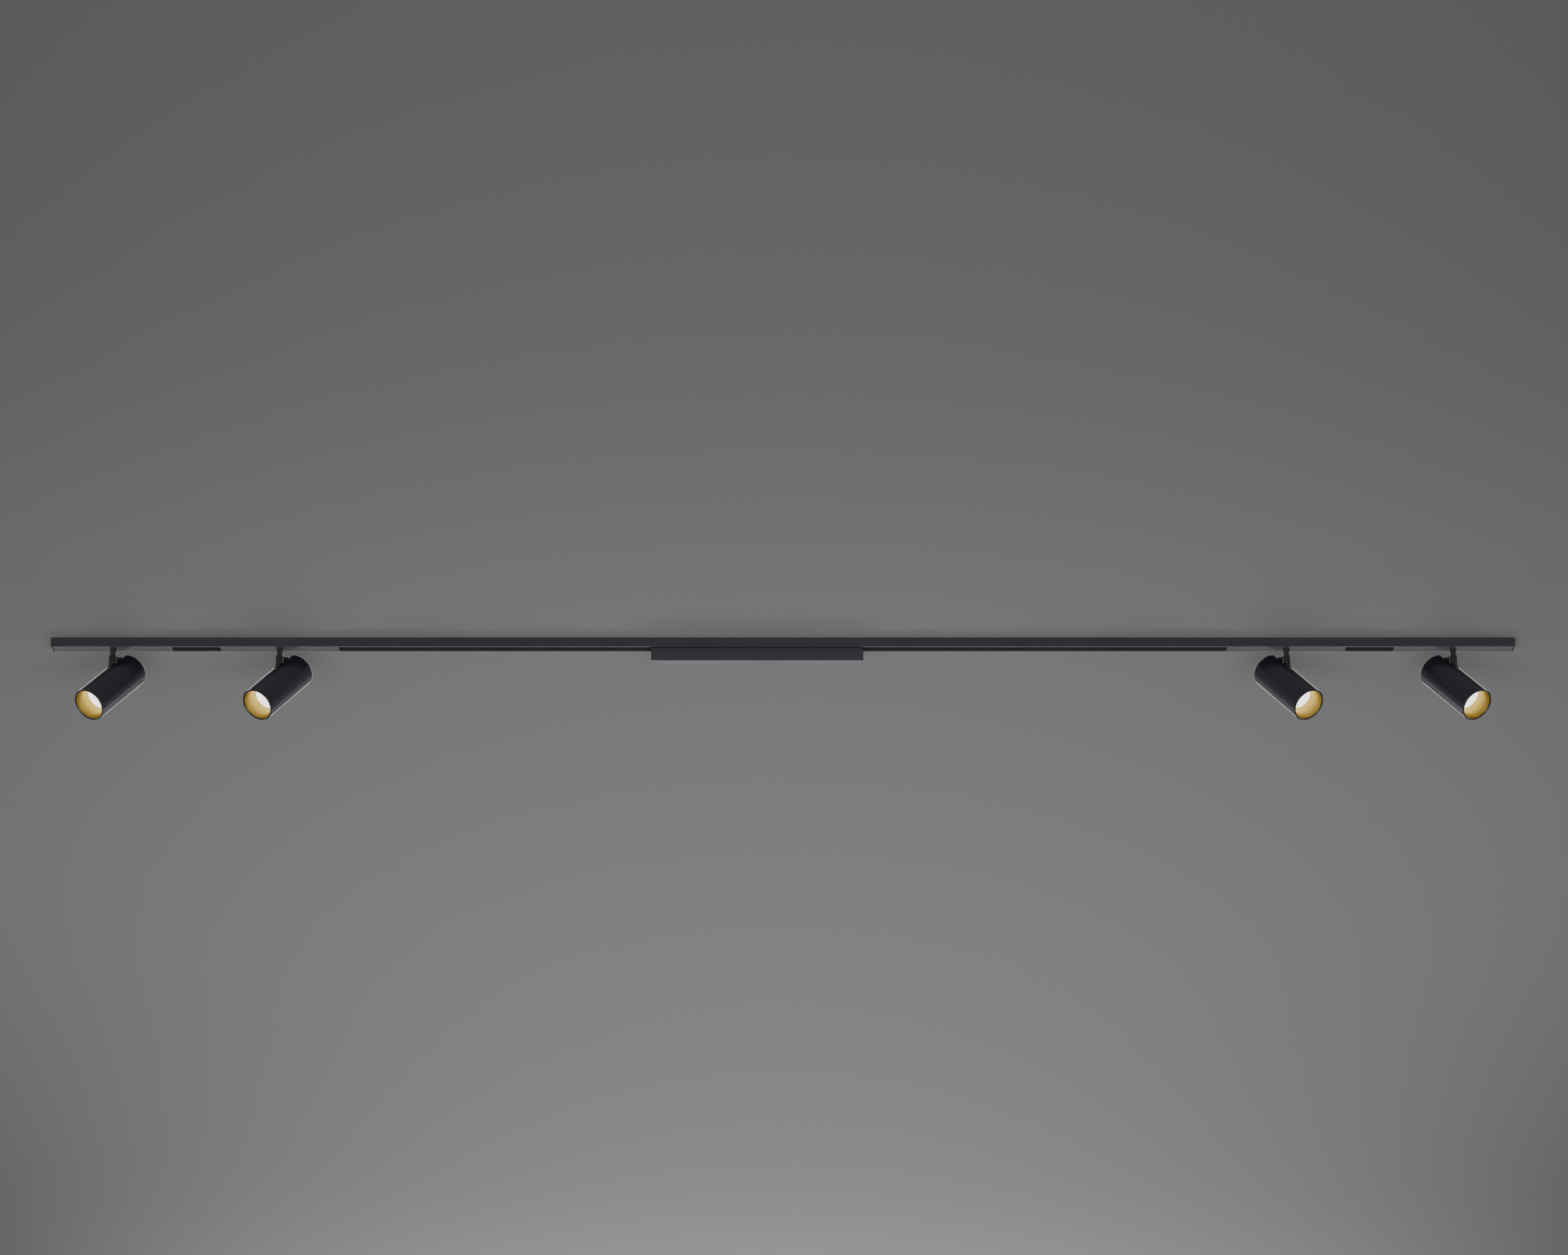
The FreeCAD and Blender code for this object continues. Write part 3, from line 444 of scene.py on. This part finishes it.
def grow_piece(name, points, tree, values, body):
    """Run a tree on loose points and keep what it makes as a plain mesh that rides on a body."""
    start = bpy.data.meshes.new(name)
    start.from_pydata(points, [], [])
    piece = bpy.data.objects.new(name, start)
    bpy.context.collection.objects.link(piece)
    modifier = piece.modifiers.new("shape", "NODES")
    modifier.node_group = tree
    for item in tree.interface.items_tree:
        if item.in_out == "INPUT" and item.name in values:
            modifier[item.identifier] = values[item.name]
    ready = piece.evaluated_get(bpy.context.evaluated_depsgraph_get())
    mesh = bpy.data.meshes.new_from_object(ready)
    for number in reversed(range(len(mesh.materials))):
        if mesh.materials[number] is None:
            mesh.materials.pop(index=number)
    piece.modifiers.clear()
    piece.data = mesh
    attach(piece, body)
    return piece


def make_screw_tree():
    """A domed head with a crossed recess on every point, facing one way. The dome is half a ball of
    radius 1, flattened, with two bars cut from its crown; the Head Radius gives it its size."""
    tree, given, result = geometry_tree("crossed_screws", {
        "Head Radius": ("Float", 0.0016), "Dome": ("Float", 0.45), "Recess Length": ("Float", 1.1),
        "Recess Width": ("Float", 0.24), "Facing": ("Vector", (0, 0, 1)), "Material": ("Material", None)})
    ball = add_node(tree, "GeometryNodeMeshUVSphere", {"Segments": 24, "Rings": 12, "Radius": 1.0})
    flat = add_node(tree, "ShaderNodeCombineXYZ", {0: 1.0, 1: 1.0, 2: given.outputs["Dome"]})
    dome = add_node(tree, "GeometryNodeTransform", {0: ball.outputs[0], "Scale": flat.outputs[0]})
    under = add_node(tree, "GeometryNodeMeshCube", {"Size": (UNDER_CUT, UNDER_CUT, UNDER_CUT)})
    foot = add_node(tree, "GeometryNodeTransform", {
        0: under.outputs[0], "Translation": (0, 0, -UNDER_CUT / 2)})
    depth = add_node(tree, "ShaderNodeMath", {
        0: given.outputs["Dome"], 1: RECESS_DEPTH}, operation="MULTIPLY")
    lift = add_node(tree, "ShaderNodeCombineXYZ", {2: given.outputs["Dome"]})
    cutters = [foot.outputs[0]]
    for long, wide in ((0, 1), (1, 0)):
        size = add_node(tree, "ShaderNodeCombineXYZ", {
            long: given.outputs["Recess Length"], wide: given.outputs["Recess Width"], 2: depth.outputs[0]})
        bar = add_node(tree, "GeometryNodeMeshCube", {"Size": size.outputs[0]})
        raised = add_node(tree, "GeometryNodeTransform", {
            0: bar.outputs[0], "Translation": lift.outputs[0]})
        cutters.append(raised.outputs[0])
    carved = add_node(tree, "GeometryNodeMeshBoolean", {0: dome.outputs[0]},
                      operation="DIFFERENCE", solver="EXACT")
    for cutter in cutters:
        tree.links.new(cutter, carved.inputs[1])
    turned = add_node(tree, "FunctionNodeAlignRotationToVector", {
        "Vector": given.outputs["Facing"]}, axis="Z")
    placed = add_node(tree, "GeometryNodeInstanceOnPoints", {
        0: given.outputs["Geometry"], "Instance": carved.outputs[0],
        "Rotation": turned.outputs[0], "Scale": given.outputs["Head Radius"]})
    end_tree(tree, given, result, placed.outputs[0])
    return tree


screw_tree = make_screw_tree()
zinc, _ = finish_with("zinc_plate", (0.50, 0.50, 0.52), 0.30, metal=1.0, grains=1500.0, wear_and_highlight_amount=0.2)
black_zinc, _ = finish_with("black_zinc", (0.035, 0.034, 0.038), 0.34, metal=1.0, grains=1500.0, wear_and_highlight_amount=0.5)
plates_low, plates_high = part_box("driver_end_plates")
for side, face, facing in (("left", plates_low[0], -1), ("right", plates_high[0], 1)):
    spots_on_plate = [(face, 0, plates_high[2] - drop) for drop in SCREW_DROPS]
    grow_piece(f"driver_screws_{side}", spots_on_plate, screw_tree,
               {"Facing": (facing, 0, 0), "Material": black_zinc}, "track")

clamp_low, clamp_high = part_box("terminal_block")
clamp_x = (clamp_low[0] + clamp_high[0]) / 2
clamp_screws = [(clamp_x, side * WELL_OFFSET, clamp_high[2] - WELL_DEPTH) for side in (-1, 1)]
grow_piece("clamp_screws", clamp_screws, screw_tree, {"Head Radius": CLAMP_HEAD, "Material": zinc}, "track")


# Winding: enamelled wire wound round the transformer's bobbin, just proud of its tape.
# Its first turn lies a little above the foot of the core.
CORE_FOOT = 0.003
FIRST_TURN = 0.0005


def make_winding_tree():
    """Rounded loops of wire, stacked upwards from a point."""
    tree, given, result = geometry_tree("wire_winding", {
        "Turns": ("Int", 9), "Length": ("Float", 0.019), "Width": ("Float", 0.010),
        "Corner": ("Float", 0.002), "Wire": ("Float", 0.00045), "Pitch": ("Float", 0.0005),
        "Material": ("Material", None)})
    loop = add_node(tree, "GeometryNodeCurvePrimitiveQuadrilateral", {
        "Width": given.outputs["Length"], "Height": given.outputs["Width"]})
    round_loop = add_node(tree, "GeometryNodeFilletCurve", {
        0: loop.outputs[0], "Count": 4, "Radius": given.outputs["Corner"]}, mode="POLY")
    half = add_node(tree, "ShaderNodeMath", {0: given.outputs["Wire"], 1: 0.5}, operation="MULTIPLY")
    ring = add_node(tree, "GeometryNodeCurvePrimitiveCircle", {"Resolution": 8, "Radius": half.outputs[0]})
    turn = add_node(tree, "GeometryNodeCurveToMesh", {0: round_loop.outputs[0], 1: ring.outputs[0]})
    rise = add_node(tree, "ShaderNodeCombineXYZ", {2: given.outputs["Pitch"]})
    stack = add_node(tree, "GeometryNodeMeshLine", {
        "Count": given.outputs["Turns"], "Offset": rise.outputs[0]})
    turns = add_node(tree, "GeometryNodeInstanceOnPoints", {
        0: stack.outputs[0], "Instance": turn.outputs[0]})
    coil = add_node(tree, "GeometryNodeRealizeInstances", {0: turns.outputs[0]})
    placed = add_node(tree, "GeometryNodeInstanceOnPoints", {
        0: given.outputs["Geometry"], "Instance": coil.outputs[0]})
    end_tree(tree, given, result, placed.outputs[0])
    return tree


enamel, _ = finish_with("wire_enamel", (0.42, 0.13, 0.05), 0.25, metal=0.6, grains=1200.0,
                        wear_and_highlight_amount=0.0, coat=0.5)
core_low, core_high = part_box("transformer")
winding_foot = ((core_low[0] + core_high[0]) / 2, 0, core_low[2] + CORE_FOOT + FIRST_TURN)
grow_piece("transformer_winding", [winding_foot], make_winding_tree(), {"Material": enamel}, "track")


# Cable grommet: a soft black rubber bush in the web above the driver.
rubber, _ = finish_with("grommet_rubber", (0.018, 0.018, 0.018), 0.75, grains=1800.0, wear_and_highlight_amount=0.0)
dress("cable_grommet", rubber)


# Spots: four alike, each an adapter in the slot, a stem that turns in it, and a head that tilts.
# The lenses are lit, and their light makes the gold reflectors glow.
LENS_LIGHT = (1.0, 0.96, 0.88, 1)
LENS_STRENGTH = 2.3
SPOTS = ("outer_left", "inner_left", "inner_right", "outer_right")
cover_plastic, _ = finish_with("cover_plastic", (0.048, 0.043, 0.058), 0.56, grains=3000.0, wear_and_highlight_amount=0.2)
nickel, _ = finish_with("magnet_nickel", (0.58, 0.55, 0.50), 0.22, metal=1.0, grains=500.0, wear_and_highlight_amount=0.0)
stem_coat, _ = finish_with("stem_satin_coat", (0.014, 0.013, 0.017), 0.50, grains=2600.0, dust=0.1)
head_coat, _ = finish_with("head_satin_coat", (0.015, 0.014, 0.021), 0.24, grains=3000.0, depth=0.000006,
                           unevenness=0.06, dust=0.05)
bare_aluminium, _ = finish_with("bare_aluminium", (0.55, 0.55, 0.57), 0.35, metal=1.0, grains=800.0,
                                wear_and_highlight_amount=0.0)
white_mask, _ = finish_with("white_solder_mask", (0.75, 0.75, 0.70), 0.35, grains=900.0, wear_and_highlight_amount=0.0)
gold, _ = finish_with("gold_reflector", (0.44, 0.325, 0.080), 0.34, metal=1.0, grains=900.0,
                      unevenness=0.08, dust=0.0, wear_and_highlight_amount=0.0, depth=0.00003)
opal, opal_shader = finish_with("opal_lens", (0.92, 0.91, 0.86), 0.35, grains=700.0, dust=0.0, wear_and_highlight_amount=0.0)
opal_shader.inputs["Emission Color"].default_value = LENS_LIGHT
opal_shader.inputs["Emission Strength"].default_value = LENS_STRENGTH
for spot in SPOTS:
    dress(f"{spot}_adapter_housing", cap_plastic)
    dress(f"{spot}_adapter_cover", cover_plastic)
    dress(f"{spot}_adapter_board", board_mask)
    dress(f"{spot}_adapter_magnets", nickel)
    dress(f"{spot}_stem", stem_coat)
    dress(f"{spot}_pivot_pin", steel)
    dress(f"{spot}_head_shell", head_coat)
    dress(f"{spot}_heat_sink", bare_aluminium)
    dress(f"{spot}_led_board", white_mask)
    dress(f"{spot}_reflector", gold)
    dress(f"{spot}_lens", opal)


# LED dies: a round patch of square chips behind each lens, on the face of the LED board.
# Each chip's upright wall takes three quarters of its height; its rim leans in above that.
CORNER_SHARE = 0.12
WALL_SHARE = 0.75
CROWN_SHRINK = 0.88
WELD_DISTANCE = 0.000001


def make_dies_tree():
    """Square chips with broken edges on a grid, kept within a round patch about each point."""
    tree, given, result = geometry_tree("led_dies", {
        "Across": ("Int", 9), "Step": ("Float", 0.0013), "Reach": ("Float", 0.0056),
        "Chip": ("Float", 0.0010), "Height": ("Float", 0.00022), "Facing": ("Vector", (0, 0, 1)),
        "Material": ("Material", None)})
    square = add_node(tree, "GeometryNodeCurvePrimitiveQuadrilateral", {
        "Width": given.outputs["Chip"], "Height": given.outputs["Chip"]})
    corner = add_node(tree, "ShaderNodeMath", {
        0: given.outputs["Chip"], 1: CORNER_SHARE}, operation="MULTIPLY")
    rounded = add_node(tree, "GeometryNodeFilletCurve", {
        0: square.outputs[0], "Count": 2, "Radius": corner.outputs[0]}, mode="POLY")
    face = add_node(tree, "GeometryNodeFillCurve", {0: rounded.outputs[0]}, mode="NGONS")
    base = add_node(tree, "GeometryNodeFlipFaces", {0: face.outputs[0]})
    wall = add_node(tree, "ShaderNodeMath", {
        0: given.outputs["Height"], 1: WALL_SHARE}, operation="MULTIPLY")
    rim = add_node(tree, "ShaderNodeMath", {
        0: given.outputs["Height"], 1: 1 - WALL_SHARE}, operation="MULTIPLY")
    up = add_node(tree, "GeometryNodeExtrudeMesh", {0: face.outputs[0], "Offset Scale": wall.outputs[0]})
    crown = add_node(tree, "GeometryNodeExtrudeMesh", {
        0: up.outputs[0], "Selection": up.outputs["Top"], "Offset Scale": rim.outputs[0]})
    inset = add_node(tree, "GeometryNodeScaleElements", {
        0: crown.outputs[0], "Selection": crown.outputs["Top"], "Scale": CROWN_SHRINK})
    joined = add_node(tree, "GeometryNodeJoinGeometry")
    tree.links.new(inset.outputs[0], joined.inputs[0])
    tree.links.new(base.outputs[0], joined.inputs[0])
    chip = add_node(tree, "GeometryNodeMergeByDistance", {0: joined.outputs[0], "Distance": WELD_DISTANCE})
    gaps = add_node(tree, "ShaderNodeMath", {0: given.outputs["Across"], 1: 1.0}, operation="SUBTRACT")
    side = add_node(tree, "ShaderNodeMath", {
        0: gaps.outputs[0], 1: given.outputs["Step"]}, operation="MULTIPLY")
    grid = add_node(tree, "GeometryNodeMeshGrid", {
        "Size X": side.outputs[0], "Size Y": side.outputs[0],
        "Vertices X": given.outputs["Across"], "Vertices Y": given.outputs["Across"]})
    place = add_node(tree, "GeometryNodeInputPosition")
    away = add_node(tree, "ShaderNodeVectorMath", {0: place.outputs[0]}, operation="LENGTH")
    inside = add_node(tree, "FunctionNodeCompare", {0: away.outputs["Value"], 1: given.outputs["Reach"]},
                      operation="LESS_EQUAL")
    patch = add_node(tree, "GeometryNodeInstanceOnPoints", {
        0: grid.outputs[0], "Selection": inside.outputs[0], "Instance": chip.outputs[0]})
    dies = add_node(tree, "GeometryNodeRealizeInstances", {0: patch.outputs[0]})
    turned = add_node(tree, "FunctionNodeAlignRotationToVector", {
        "Vector": given.outputs["Facing"]}, axis="Z")
    placed = add_node(tree, "GeometryNodeInstanceOnPoints", {
        0: given.outputs["Geometry"], "Instance": dies.outputs[0], "Rotation": turned.outputs[0]})
    end_tree(tree, given, result, placed.outputs[0])
    return tree


dies_tree = make_dies_tree()
phosphor, _ = finish_with("die_phosphor", (0.85, 0.72, 0.12), 0.45, grains=1800.0, dust=0.0, wear_and_highlight_amount=0.0)
for spot in SPOTS:
    board_middle = sum((Vector(corner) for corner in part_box(f"{spot}_led_board")), Vector()) / 2
    lens_middle = sum((Vector(corner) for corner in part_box(f"{spot}_lens")), Vector()) / 2
    facing = (lens_middle - board_middle).normalized()
    led_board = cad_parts[f"{spot}_led_board"].data
    reach = max(vertex.co.dot(facing) for vertex in led_board.vertices)
    seat = board_middle + facing * (reach - board_middle.dot(facing))
    grow_piece(f"{spot}_led_dies", [seat], dies_tree,
               {"Facing": facing, "Material": phosphor}, f"{spot}_head")
